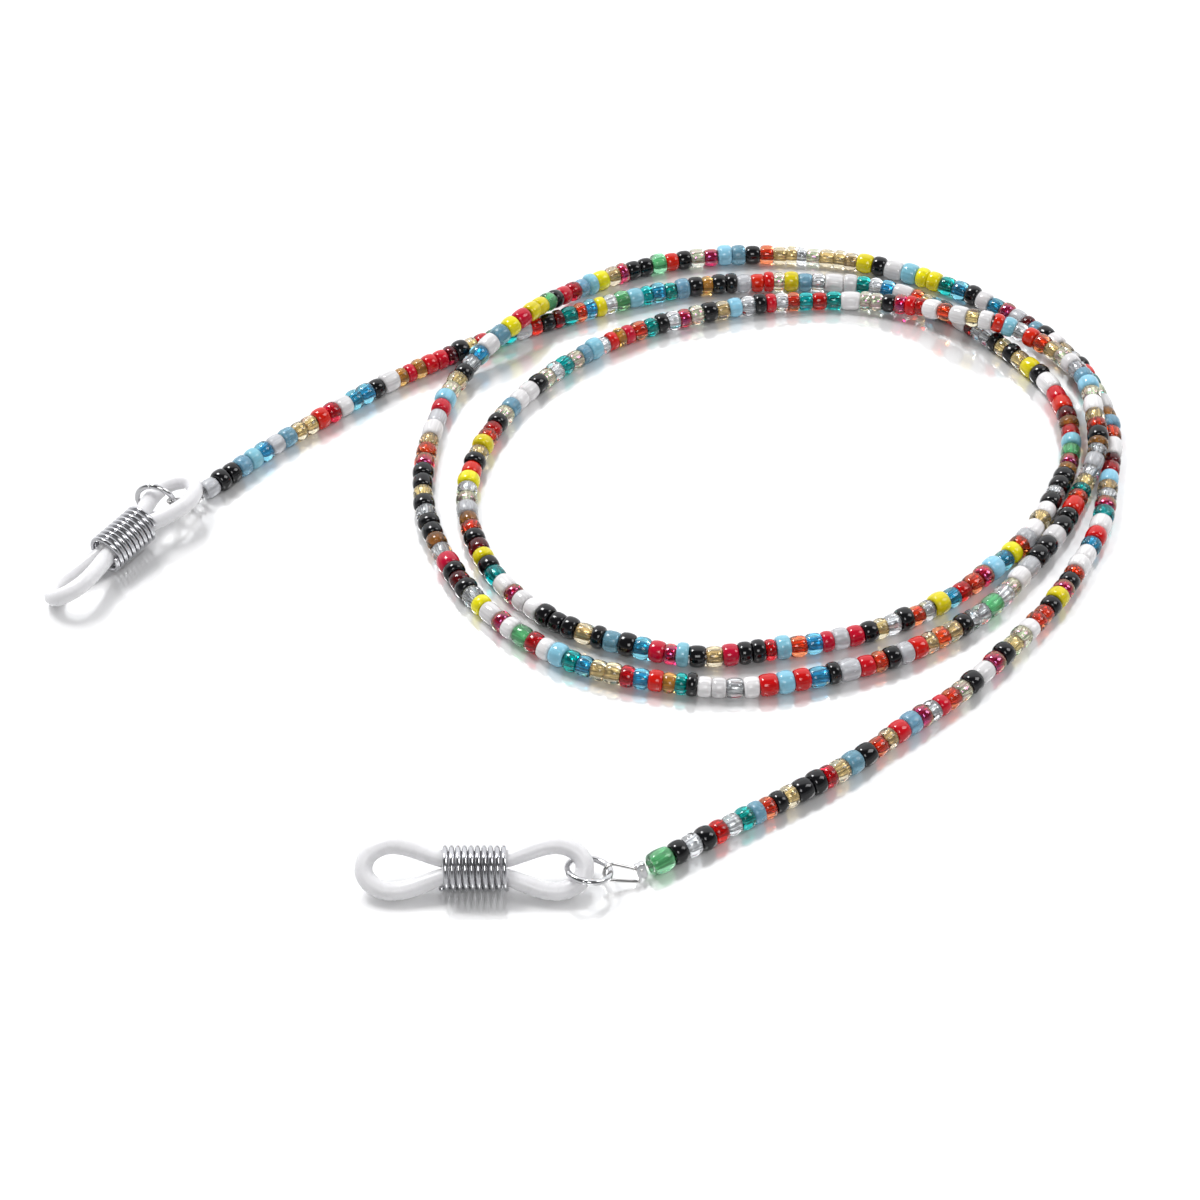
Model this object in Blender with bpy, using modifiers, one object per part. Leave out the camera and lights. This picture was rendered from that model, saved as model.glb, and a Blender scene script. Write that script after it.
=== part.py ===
"""Beaded eyeglass chain, laid down in two and three quarter loose turns.

A beading wire runs through the glass beads.  At each end it passes a flattened
crimp, turns back as a small wire eye and holds a jump ring.  The ring holds a
clear silicone loop, pinched to a figure of eight by a sliding coil spring, which
grips the temple of a pair of glasses.

Frame: metres, +Z up, the table at Z = 0, the origin midway between the two
temple loops.  The lengths below are in millimetres and are turned to metres
when an object is made.
"""
from math import cos, sin, pi, radians

import bmesh
import bpy
from mathutils import Matrix, Vector

MM = 0.001

# ---------------------------------------------------------------- dimensions, mm
BEAD_R = 1.2                 # glass bead, outer radius
HOLE_R = 0.55                # hole through a bead
HOLE_EDGE = 0.12             # chamfer at each mouth of the hole
BEAD_ROUNDING = 0.32         # part of a bead's length that is rounded off at each end
BEAD_SHOULDER = 0.45         # how far the rounding reaches in, against its length
BEAD_STEPS = 14              # sides of a single bead
LIE = 1.22                   # height of the wire where the beads lie on the table
OVER = 3.7                   # height of the wire where the strand crosses itself
RUN_R = 1.12                 # outline of a run of beads
THREAD_R = 0.2               # beading wire
THREAD_POINTS = 78           # points of the wire between its two straight ends
SEGMENTS_PER_RUN = 3         # pieces of the wire's route under one run
BEAD_GAP = 0.06              # play between two single beads
END_GAP = 0.3                # clearance at a crimp
RUN_GAP = 0.6                # clearance between two runs, which meet at a bend

GRIP_R = 0.93                # silicone cord of a temple loop
PINCH_R = 0.80               # the same cord, squeezed inside the coil
PINCH_OFFSET = 0.86          # each squeezed strand from the coil's axis
GRIP_HALF_LENGTH = 11.8
GRIP_HALF_WIDTH = 3.2
SPREAD_START = 3.1           # the two strands part here, inside the coil's end
THICKEN = 1.5                # the cord is round again before the loop is at its widest
TIP_STRETCH = 1.25           # the round ends are longer than a half circle
SPREAD_STEPS = 11
TIP_STEPS = 6
TWIST = {"front": 0.0, "back": radians(12)}   # how far each half turns out of the plane

COIL_R = 2.04                # mean radius of the coil spring
COIL_WIRE_R = 0.27
COIL_TURNS = 10
COIL_PITCH = 0.64
COIL_START = pi              # where round the coil its wire begins and ends
STEPS_PER_TURN = 12

RING_R = 2.17                # mean radius of a jump ring
RING_WIRE_R = 0.33

EYE_WIRE_R = 0.18            # wire eye between crimp and ring
EYE_HALF_WIDTH = 0.82        # at the bow
EYE_FOOT_HALF_WIDTH = 0.5    # where the two wires meet the crimp
EYE_FLARE_AT = 0.35          # part of the eye's length where it widens
EYE_FLARE = 0.75             # its half width there, against the bow's
BOW_STEPS = 10
EYE_GAP = 0.45               # clearance between the eye's two wires and the crimp
EYE_BEYOND = 0.15            # the ring's wire lies this far past the bow's centre
CRIMP = (1.0, 1.9, 0.9)      # flattened crimp: along the strand, wide, thick
CRIMP_ROUNDING = 0.18

MIDWAY = Vector((-30.16, -12.9, 0.0))   # between the temple loops, in the route's frame

# Route of the beading wire from the back end to the front end, chosen by hand.
# The first and last points are the ends of the two straight stretches.
ROUTE = [
    (-38.8, 25.0, LIE), (-33.2, 30.3, LIE), (-26.2, 36.7, LIE), (-19.5, 41.6, LIE),
    (-13.4, 45.6, LIE), (-7.0, 48.9, LIE), (-1.0, 51.8, LIE), (6.0, 54.7, LIE),
    (14.0, 56.8, LIE), (24.0, 57.5, LIE), (32.5, 57.0, LIE), (38.8, 55.0, LIE),
    (44.0, 51.0, LIE), (48.5, 46.0, LIE), (52.2, 41.0, LIE), (55.0, 36.0, LIE),
    (56.1, 29.5, LIE), (55.3, 22.5, LIE), (52.5, 16.0, LIE), (48.5, 9.0, LIE),
    (43.0, 2.8, LIE), (36.5, -2.5, LIE), (28.5, -6.5, LIE), (19.5, -8.8, LIE),
    (10.5, -10.0, LIE), (3.0, -8.3, LIE), (-4.0, -5.2, LIE), (-9.6, -0.2, LIE),
    (-13.2, 5.8, LIE), (-15.2, 13.0, LIE), (-15.1, 20.0, LIE), (-12.6, 28.4, LIE),
    (-8.2, 35.9, LIE), (-1.5, 42.9, LIE), (5.3, 47.6, LIE), (12.5, 50.6, LIE),
    (21.0, 52.9, LIE), (31.5, 53.6, LIE), (39.3, 51.6, 1.9), (42.6, 49.5, 2.7),
    (46.0, 47.2, 3.4), (48.6, 46.0, OVER), (51.7, 44.9, 3.1), (56.0, 40.7, 2.9),
    (58.7, 34.9, 3.3), (58.9, 29.0, 2.9), (58.4, 22.8, 2.7), (56.3, 18.0, 1.3),
    (52.7, 10.8, LIE), (48.0, 4.0, LIE), (42.5, -2.8, LIE), (34.5, -8.6, LIE),
    (26.0, -12.2, LIE), (15.5, -14.6, LIE), (7.0, -13.8, LIE), (-1.0, -11.7, LIE),
    (-8.0, -7.2, LIE), (-14.0, -0.8, LIE), (-18.3, 7.7, LIE), (-20.4, 15.5, LIE),
    (-20.4, 24.5, LIE), (-18.6, 34.0, LIE), (-16.2, 39.2, 1.7), (-13.9, 42.4, 2.6),
    (-11.4, 45.0, 3.3), (-9.2, 47.2, OVER), (-7.2, 50.1, 3.2), (-4.8, 53.6, 1.9),
    (-0.2, 57.6, LIE), (6.5, 61.0, LIE), (14.0, 62.9, LIE), (22.5, 63.4, LIE),
    (31.0, 62.5, LIE), (38.5, 59.8, LIE), (45.5, 56.0, LIE), (51.0, 51.5, LIE),
    (55.8, 45.8, LIE), (59.0, 40.0, LIE), (60.6, 32.5, LIE), (60.8, 25.5, LIE),
    (59.2, 18.5, LIE), (57.3, 11.3, LIE), (54.3, 5.3, LIE), (50.3, -1.3, LIE),
    (44.4, -8.6, LIE), (38.2, -15.3, LIE), (32.0, -20.3, LIE), (25.8, -25.6, LIE),
    (18.3, -30.6, LIE), (14.1, -33.2, LIE),
]
BACK_START = Vector((-46.1, 16.55, LIE))     # the wire leaves the back crimp
FRONT_START = Vector((4.68, -39.3, LIE))     # the wire leaves the front crimp


def smooth_curve(points, steps=16):
    """A dense Catmull-Rom curve through the points; the end points only guide it."""
    dense = []
    for a, b, c, d in zip(points, points[1:], points[2:], points[3:]):
        for i in range(steps):
            t = i / steps
            dense.append(0.5 * (2 * b + (c - a) * t + (2 * a - 5 * b + 4 * c - d) * t * t
                                + (3 * b - 3 * c + d - a) * t ** 3))
    dense.append(points[-2])
    return dense


def even_points(dense, count, longest=12.0, sharpest=radians(12.0)):
    """Pick count + 1 points, closer together where the curve turns more."""
    cost = [0.0]
    for i in range(1, len(dense)):
        step = dense[i] - dense[i - 1]
        ahead = dense[min(i + 1, len(dense) - 1)] - dense[i]
        turn = step.angle(ahead, 0.0) if ahead.length > 0 else 0.0
        cost.append(cost[-1] + step.length / longest + turn / sharpest)
    picked = []
    i = 0
    for n in range(count):
        target = cost[-1] * n / count
        while cost[i + 1] < target:
            i += 1
        part = (target - cost[i]) / (cost[i + 1] - cost[i])
        picked.append(dense[i].lerp(dense[i + 1], part))
    return picked + [dense[-1]]


def wire_route():
    """All points of the beading wire, from the back crimp to the front crimp."""
    route = [BACK_START] + [Vector(p) for p in ROUTE] + [FRONT_START]
    return [BACK_START] + even_points(smooth_curve(route), THREAD_POINTS - 1) + [FRONT_START]


# ---------------------------------------------------------------- scene and helpers
def clear_scene():
    for obj in list(bpy.context.scene.objects):
        bpy.data.objects.remove(obj, do_unlink=True)


def make_collection(name):
    collection = bpy.data.collections.new(name)
    bpy.context.scene.collection.children.link(collection)
    return collection


def material(name, colour, roughness, metallic=0.0, transmission=0.0):
    mat = bpy.data.materials.new(name)
    mat.use_nodes = True
    shader = mat.node_tree.nodes["Principled BSDF"]
    shader.inputs["Base Color"].default_value = (*colour, 1.0)
    shader.inputs["Roughness"].default_value = roughness
    shader.inputs["Metallic"].default_value = metallic
    shader.inputs["Transmission Weight"].default_value = transmission
    return mat


def frame_matrix(origin, x_axis, y_hint):
    """Placement with local X along x_axis and local Y as near y_hint as it can be."""
    x = Vector(x_axis).normalized()
    z = x.cross(Vector(y_hint)).normalized()
    y = z.cross(x)
    turn = Matrix((x, y, z)).transposed().to_4x4()
    return Matrix.Translation((Vector(origin) - MIDWAY) * MM) @ turn


def place(obj, mat, matrix, pivot=None):
    obj.data.materials.append(mat)
    CHAIN.objects.link(obj)
    obj.matrix_world = matrix
    if pivot is not None:
        obj.parent = pivot
        obj.matrix_parent_inverse = pivot.matrix_basis.inverted()
    return obj


def make_pivot(name, matrix):
    pivot = bpy.data.objects.new(name, None)
    CHAIN.objects.link(pivot)
    pivot.empty_display_size = 2 * MM
    pivot.matrix_basis = matrix
    return pivot


def tube(name, points, radius, closed=False, resolution=2, radii=None, caps=True):
    """A poly curve in millimetres with a round bevel."""
    curve = bpy.data.curves.new(name, "CURVE")
    curve.dimensions = "3D"
    curve.bevel_depth = radius * MM
    curve.bevel_resolution = resolution
    curve.use_fill_caps = caps and not closed
    spline = curve.splines.new("POLY")
    spline.points.add(len(points) - 1)
    for i, point in enumerate(points):
        spline.points[i].co = (*(Vector(point) * MM), 1.0)
        spline.points[i].radius = 1.0 if radii is None else radii[i] / radius
    spline.use_cyclic_u = closed
    return bpy.data.objects.new(name, curve)


# ---------------------------------------------------------------- strand
def bead_mesh(name, length, radius, hole):
    """Turned bead with a hole: a rounded section, outer side first, top to bottom."""
    half = length / 2
    round_off = BEAD_ROUNDING * length
    shoulder = radius - BEAD_SHOULDER * round_off
    section = [(shoulder, half), (radius, half - round_off),
               (radius, round_off - half), (shoulder, -half),
               (hole + HOLE_EDGE, -half), (hole, HOLE_EDGE - half),
               (hole, half - HOLE_EDGE), (hole + HOLE_EDGE, half)]
    mesh = bpy.data.meshes.new(name)
    count = len(section)
    mesh.from_pydata([(x * MM, 0, z * MM) for x, z in section],
                     [(i, (i + 1) % count) for i in range(count)], [])
    return mesh


def turned(obj, steps):
    screw = obj.modifiers.new("turn", "SCREW")
    screw.steps = steps
    screw.render_steps = steps
    screw.use_merge_vertices = True
    screw.merge_threshold = 1e-6
    return obj


def single_beads(end, start, towards, beads):
    """Single beads from a crimp inwards; each turns on the straight wire."""
    direction = (towards - start).normalized()
    at = END_GAP
    for number, (kind, length, radius) in enumerate(beads, 1):
        centre = start + direction * (at + length / 2)
        name = f"{end}_bead_{number}"
        obj = turned(bpy.data.objects.new(name, bead_mesh(name, length, radius, HOLE_R)), BEAD_STEPS)
        upright = frame_matrix(centre, direction, (0, 0, 1))
        place(obj, GLASS[kind], upright @ Matrix.Rotation(pi / 2, 4, "Y"))
        at += length + BEAD_GAP


def bead_runs(points):
    """Beads of the turns, taken together in short hollow runs on the wire."""
    kinds = list(GLASS)
    middle = points[1:-1]
    starts = range(0, len(middle) - 1, SEGMENTS_PER_RUN)
    for number, first in enumerate(starts, 1):
        last = min(first + SEGMENTS_PER_RUN, len(middle) - 1)
        stretch = middle[first:last + 1]
        stretch[0] = stretch[0] + (stretch[1] - stretch[0]).normalized() * RUN_GAP / 2
        stretch[-1] = stretch[-1] + (stretch[-2] - stretch[-1]).normalized() * RUN_GAP / 2
        name = f"bead_run_{number:02d}"
        origin = stretch[len(stretch) // 2]
        run = tube(name, [p - origin for p in stretch], RUN_R, caps=False)
        wall = run.modifiers.new("wall", "SOLIDIFY")
        wall.thickness = (RUN_R - HOLE_R) * MM
        wall.offset = -1.0
        wall.use_even_offset = True
        place(run, GLASS[kinds[number % len(kinds)]], frame_matrix(origin, (1, 0, 0), (0, 1, 0)))


# ---------------------------------------------------------------- end fittings
def crimp(end, face, outward, wide):
    """Flattened crimp tube: a block with rounded edges, its broad faces flat."""
    length, width, thick = CRIMP
    mesh = bpy.data.meshes.new(f"{end}_crimp")
    work = bmesh.new()
    bmesh.ops.create_cube(work, size=1.0)
    bmesh.ops.scale(work, vec=Vector((length, width, thick)) * MM, verts=work.verts)
    work.to_mesh(mesh)
    work.free()
    obj = bpy.data.objects.new(f"{end}_crimp", mesh)
    edge = obj.modifiers.new("rounded edges", "BEVEL")
    edge.width = CRIMP_ROUNDING * MM
    edge.segments = 2
    edge.limit_method = "ANGLE"
    centre = face + Vector(outward) * length / 2
    return place(obj, STEEL, frame_matrix(centre, -Vector(outward), wide))


def wire_eye(end, foot, hook, wide):
    """Open eye of wire from the crimp to the ring; its bow lies beyond the hook point."""
    reach = (hook - foot).length
    bow_centre = reach - EYE_BEYOND
    outline = [(0.0, EYE_FOOT_HALF_WIDTH)]
    outline.append((EYE_FLARE_AT * bow_centre, EYE_FLARE * EYE_HALF_WIDTH))
    for i in range(BOW_STEPS + 1):
        angle = pi / 2 - pi * i / BOW_STEPS
        outline.append((bow_centre + EYE_HALF_WIDTH * cos(angle), EYE_HALF_WIDTH * sin(angle)))
    outline.append((EYE_FLARE_AT * bow_centre, -EYE_FLARE * EYE_HALF_WIDTH))
    outline.append((0.0, -EYE_FOOT_HALF_WIDTH))
    obj = tube(f"{end}_wire_eye", [(x, y, 0) for x, y in outline], EYE_WIRE_R)
    return place(obj, STEEL, frame_matrix(foot, hook - foot, wide))


def jump_ring(end, matrix, pivot):
    bpy.ops.mesh.primitive_torus_add(major_radius=RING_R * MM, minor_radius=RING_WIRE_R * MM,
                                     major_segments=30, minor_segments=8)
    obj = bpy.context.object
    obj.name = f"{end}_jump_ring"
    for collection in list(obj.users_collection):
        collection.objects.unlink(obj)
    return place(obj, STEEL, matrix, pivot)


def grip_outline():
    """Half width of the silicone loop's middle line along the grip, tip to strand side."""
    wide = GRIP_HALF_WIDTH - GRIP_R
    end = GRIP_HALF_LENGTH - GRIP_R
    side = []
    arc_x = end - TIP_STRETCH * wide
    for i in range(SPREAD_STEPS):
        t = i / (SPREAD_STEPS - 1)
        x = SPREAD_START + (arc_x - SPREAD_START) * t
        swell = t * (1 + t - t * t)
        side.append((x, PINCH_OFFSET + (wide - PINCH_OFFSET) * swell,
                     PINCH_R + (GRIP_R - PINCH_R) * min(1.0, THICKEN * t)))
    for i in range(1, TIP_STEPS + 1):
        angle = pi / 2 * (1 - i / TIP_STEPS)
        side.append((arc_x + TIP_STRETCH * wide * cos(angle), wide * sin(angle), GRIP_R))
    return side


def twisted(x, y, twist):
    """A point of the loop's middle line; the halves beyond the coil are turned apart."""
    turn = twist * max(-1.0, min(1.0, x / SPREAD_START))
    return (x, y * cos(turn), y * sin(turn))


def silicone_loop(end, matrix, pivot):
    """Closed loop of silicone cord, squeezed together where the coil holds it."""
    side = grip_outline()
    quarter = side + [(x, -y, r) for x, y, r in reversed(side[:-1])]
    ring = quarter + [(-x, y, r) for x, y, r in reversed(quarter)]
    obj = tube(f"{end}_silicone_loop", [twisted(x, y, TWIST[end]) for x, y, r in ring], GRIP_R,
               closed=True, radii=[r for x, y, r in ring])
    return place(obj, SILICONE, matrix, pivot)


def coil_spring(end, matrix, pivot):
    """Close-wound coil; its turns are worked out one by one."""
    points = []
    for i in range(int(COIL_TURNS * STEPS_PER_TURN) + 1):
        turn = i / STEPS_PER_TURN
        angle = COIL_START + 2 * pi * turn
        along = COIL_PITCH * (turn - COIL_TURNS / 2)
        points.append((along, COIL_R * cos(angle), COIL_R * sin(angle)))
    obj = tube(f"{end}_coil_spring", points, COIL_WIRE_R)
    return place(obj, STEEL, matrix, pivot)


def end_fitting(end, start, inward, wide, hook, ring_matrix, grip_matrix, beads):
    """One end of the chain, from its single beads out to its temple loop."""
    outward = (start - inward).normalized()
    face = start + outward * END_GAP
    crimp(end, face, outward, wide)
    foot = face + outward * (CRIMP[0] + EYE_GAP)
    wire_eye(end, foot, hook, wide)
    single_beads(end, start, inward, beads)
    swing = make_pivot(f"{end}_ring_pivot", frame_matrix(hook, (1, 0, 0), (0, 1, 0)))
    jump_ring(end, ring_matrix, swing)
    swivel = make_pivot(f"{end}_grip_pivot", ring_matrix)
    silicone_loop(end, grip_matrix, swivel)
    coil_spring(end, grip_matrix, swivel)


clear_scene()
CHAIN = make_collection("beaded_eyeglass_chain")
STEEL = material("polished steel", (0.75, 0.75, 0.76), 0.12, metallic=1.0)
SILICONE = material("clear silicone", (0.93, 0.93, 0.95), 0.3, transmission=0.5)
GLASS = {
    "white": material("opaque white glass", (0.9, 0.9, 0.92), 0.12),
    "black": material("opaque black glass", (0.01, 0.01, 0.012), 0.08),
    "sky": material("sky blue glass", (0.35, 0.65, 0.85), 0.12),
    "red": material("red glass", (0.7, 0.02, 0.03), 0.1),
    "aqua": material("silver-lined aqua glass", (0.03, 0.35, 0.6), 0.1, transmission=0.4),
    "yellow": material("yellow glass", (0.9, 0.75, 0.03), 0.12),
    "gold": material("pale gold glass", (0.85, 0.7, 0.4), 0.08, transmission=0.5),
    "green": material("green glass", (0.15, 0.6, 0.35), 0.08, transmission=0.5),
    "teal": material("silver-lined teal glass", (0.0, 0.35, 0.35), 0.1, transmission=0.4),
    "crystal": material("crystal glass", (0.9, 0.92, 0.95), 0.05, transmission=0.8),
}

ROUTE_POINTS = wire_route()
place(tube("beading_wire", ROUTE_POINTS, THREAD_R),
      STEEL, frame_matrix((0, 0, 0), (1, 0, 0), (0, 1, 0)))
bead_runs(ROUTE_POINTS)

# Front end: the ring lies tilted, its near side over the silicone.
FRONT_RING_CENTRE = Vector((-1.1, -40.4, 2.15))
FRONT_RING_SLOPE = radians(7)       # its strand side lower
FRONT_RING_TILT = radians(18)       # its near side higher
FRONT_RING_X = Vector((cos(FRONT_RING_SLOPE), 0, -sin(FRONT_RING_SLOPE)))
FRONT_RING_NEAR = Vector((0, -cos(FRONT_RING_TILT), sin(FRONT_RING_TILT)))
FRONT_EYE_WIDE = (0, 0.5, 0.866)
FRONT_GRIP_CENTRE = (-12.35, -40.3, 2.36)
FRONT_GRIP_ROLL = radians(36)
FRONT_BEADS = [("green", 2.5, 1.2), ("black", 1.65, 1.2), ("crystal", 1.5, 1.15),
               ("black", 1.65, 1.2), ("red", 1.5, 1.2), ("teal", 1.6, 1.2)]
end_fitting(
    "front", FRONT_START, ROUTE_POINTS[-2],
    wide=FRONT_EYE_WIDE,
    hook=FRONT_RING_CENTRE + FRONT_RING_X * RING_R,
    ring_matrix=frame_matrix(FRONT_RING_CENTRE, FRONT_RING_X, FRONT_RING_NEAR),
    grip_matrix=frame_matrix(FRONT_GRIP_CENTRE, (1, 0, 0),
                             (0, cos(FRONT_GRIP_ROLL), sin(FRONT_GRIP_ROLL))),
    beads=FRONT_BEADS)

# Back end: the ring stands across one strand of the loop, and the eye and crimp
# pass under the loop's end.
BACK_RING_CENTRE = Vector((-50.9, 13.8, 2.5))
BACK_RING_YAW = radians(-10)
BACK_RING_X = Vector((cos(BACK_RING_YAW), sin(BACK_RING_YAW), 0))
BACK_EYE_WIDE = (0.75, -0.66, 0)
BACK_GRIP_CENTRE = (-53.6, 7.2, 2.6)
BACK_GRIP_HEADING = radians(54)
BACK_GRIP_PITCH = radians(4)
BACK_GRIP_ROLL = radians(-18)       # its far strand lower
BACK_BEADS = [("white", 1.9, 1.2), ("black", 1.6, 1.2), ("black", 1.6, 1.2),
              ("sky", 1.7, 1.2), ("sky", 1.6, 1.2), ("aqua", 1.65, 1.2)]
end_fitting(
    "back", BACK_START, ROUTE_POINTS[1],
    wide=BACK_EYE_WIDE,
    hook=BACK_RING_CENTRE + BACK_RING_X * RING_R,
    ring_matrix=frame_matrix(BACK_RING_CENTRE, BACK_RING_X, (0, 0, 1)),
    grip_matrix=frame_matrix(BACK_GRIP_CENTRE,
                             (cos(BACK_GRIP_HEADING), sin(BACK_GRIP_HEADING), sin(BACK_GRIP_PITCH)),
                             (-sin(BACK_GRIP_HEADING) * cos(BACK_GRIP_ROLL),
                              cos(BACK_GRIP_HEADING) * cos(BACK_GRIP_ROLL),
                              sin(BACK_GRIP_ROLL))),
    beads=BACK_BEADS)
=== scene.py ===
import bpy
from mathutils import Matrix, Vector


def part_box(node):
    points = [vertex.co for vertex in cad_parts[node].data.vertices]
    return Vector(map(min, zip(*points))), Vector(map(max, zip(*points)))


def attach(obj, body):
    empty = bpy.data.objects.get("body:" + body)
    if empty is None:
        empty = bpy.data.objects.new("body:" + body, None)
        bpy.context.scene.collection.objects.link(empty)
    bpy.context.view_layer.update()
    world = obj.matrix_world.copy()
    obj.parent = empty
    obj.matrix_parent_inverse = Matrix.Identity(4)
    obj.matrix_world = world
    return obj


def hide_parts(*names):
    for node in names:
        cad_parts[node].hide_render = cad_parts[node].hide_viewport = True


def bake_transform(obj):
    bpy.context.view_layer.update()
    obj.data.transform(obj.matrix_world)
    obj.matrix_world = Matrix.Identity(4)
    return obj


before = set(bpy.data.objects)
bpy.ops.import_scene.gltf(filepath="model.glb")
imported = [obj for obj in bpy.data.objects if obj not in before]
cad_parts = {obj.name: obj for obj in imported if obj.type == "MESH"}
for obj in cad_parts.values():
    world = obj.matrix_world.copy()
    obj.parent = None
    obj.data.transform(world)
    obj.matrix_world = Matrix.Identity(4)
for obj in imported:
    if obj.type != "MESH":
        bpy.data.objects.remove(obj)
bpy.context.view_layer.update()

# Looks of a beaded eyeglass chain: a strand of glass seed beads on a beading wire,
# with a crimp, a wire eye, a jump ring and a coil-pinched silicone loop at each end.
import random
from math import cos, pi, radians, sin

import bmesh
import bpy
import numpy as np
from mathutils import Matrix, Vector

MM = 0.001
MIDWAY = Vector((-30.16, -12.9, 0.0)) * MM      # the frame's origin in the route's own millimetres

# ---------------------------------------------------------------- dimensions
THREAD_D = 0.4 * MM          # beading wire
LIE = 1.22                   # height of the wire on the table, mm
OVER = 3.7                   # height where the strand crosses itself, mm
TABLE_Z = 0.0
WIRE_STRIDE = 4              # the drawn wire keeps one in four points of its line

BEAD_SIDES = 20              # round the bead
BEAD_PROFILE = 16            # round one section of its wall
HOLE_FACES = range(9, 15)    # those of a section that lie on the wall of the hole
HOLE_R = 0.46 * MM
HOLE_SQUARENESS = 0.5        # the hole's edges are sharper than the outer ones
WALL_ROUNDNESS = 0.8         # from the hole out to the outer surface
OUT_OF_ROUND = 0.035         # most that a bead's radius changes round it
ASKEW = 0.07                 # most that its length changes round it
BEAD_FILL = 0.985            # a bead's length against its share of the wire
RADIUS_SPREAD = (0.93, 1.06)
SQUARENESS_SPREAD = (0.9, 1.1)
LENGTH_CHOICES = (0.8, 0.95, 1.0, 1.05, 1.15)
GRAIN_REACH = 90             # each bead's glass starts somewhere else in the noise
LYING = (LIE + 0.05) * MM    # a bead with its wire below this rests on the table
LOWEST_CENTRE = 1.1 * MM
SAME_TURN = 4 * MM           # nearer than this along the wire is the same turn
SINGLE_ROOM = 2 * MM         # no other turn is near the single beads
LENGTH_SEED = 11
KIND_SEED = 100

GRIP_R = 0.93 * MM           # silicone cord
GRIP_HALF_LENGTH = 11.8 * MM
GRIP_HALF_WIDTH = 3.2 * MM
SPREAD_START = 3.1 * MM      # the two strands part here, inside the coil's end
TIP_STRETCH = 1.25           # the round ends are longer than a half circle
TWIST = {"front": 0.0, "back": radians(12)}     # each half turns out of the plane
PINCH_OFFSET = 0.86 * MM     # each squeezed strand from the coil's axis
PINCH_WIDE = 0.84 * MM       # half the squeezed strand's width, in the loop's plane
PINCH_TALL = 1.02 * MM       # and half its height
PINCH_RELAX = 1.8            # how soon the strands are round again as they part
SPREAD_STEPS = 22            # along each strand, from the coil to the round end
TIP_STEPS = 14               # along a quarter of the loop's round end
CORD_SIDES = 24

COIL_R = 2.04 * MM
COIL_WIRE_R = 0.27 * MM
COIL_TURNS = 10
COIL_PITCH = 0.64 * MM
COIL_START = pi              # where round the coil its wire begins and ends
COIL_STEPS = 32              # in each turn
COIL_END_DEPTH = 0.15        # how far its cut ends bulge, against the wire's radius

RING_R = 2.17 * MM
RING_WIRE_R = 0.33 * MM
RING_CUT = radians(3.0)      # the seam where a jump ring is bent shut
RING_CUT_AT = radians(100)
RING_STEPS = 72
RING_SIDES = 16
RING_END_DEPTH = 0.12
CUT_INSET = 0.86             # a cut end's face against the wire, for ring and coil
WIRE_SIDES = 12              # of the coil's and the eye's wire

EYE_WIRE_R = 0.18 * MM
EYE_HALF_WIDTH = 0.82 * MM
EYE_FOOT_HALF_WIDTH = 0.66 * MM
EYE_INNER_HALF_WIDTH = 0.58 * MM    # of its two legs inside the crimp
EYE_MOUTH_HALF_WIDTH = 0.60 * MM    # and where they leave it
EYE_SHOULDER = (0.4, 0.9)    # a point on its side, against its reach and half width
EYE_BEYOND = 0.15 * MM
EYE_IN_CRIMP = 0.4           # of the crimp's length
EYE_GUIDE = 1.2              # the curve's guiding points lie this much further in
EYE_BOW_STEPS = 8
EYE_CURVE_STEPS = 6
CRIMP = (1.0 * MM, 1.9 * MM, 0.9 * MM)          # along the strand, wide, thick
CRIMP_SIDES = 28
CRIMP_SQUARENESS = (0.45, 0.6)                  # across and through
CRIMP_PROFILE = (            # place along it, then width and thickness, all in shares
    (-0.5, 0.86, 0.80), (-0.46, 0.98, 0.97), (-0.36, 1.0, 1.0), (-0.2, 0.98, 0.9),
    (-0.08, 0.95, 0.72), (0.08, 0.95, 0.72), (0.2, 0.98, 0.9), (0.36, 1.0, 1.0),
    (0.46, 0.98, 0.97), (0.5, 0.86, 0.80),
)
END_GAP = 0.3 * MM           # from the strand's last point to the crimp's face
EYE_GAP = 0.45 * MM          # from the crimp's far face to the eye's foot

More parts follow.
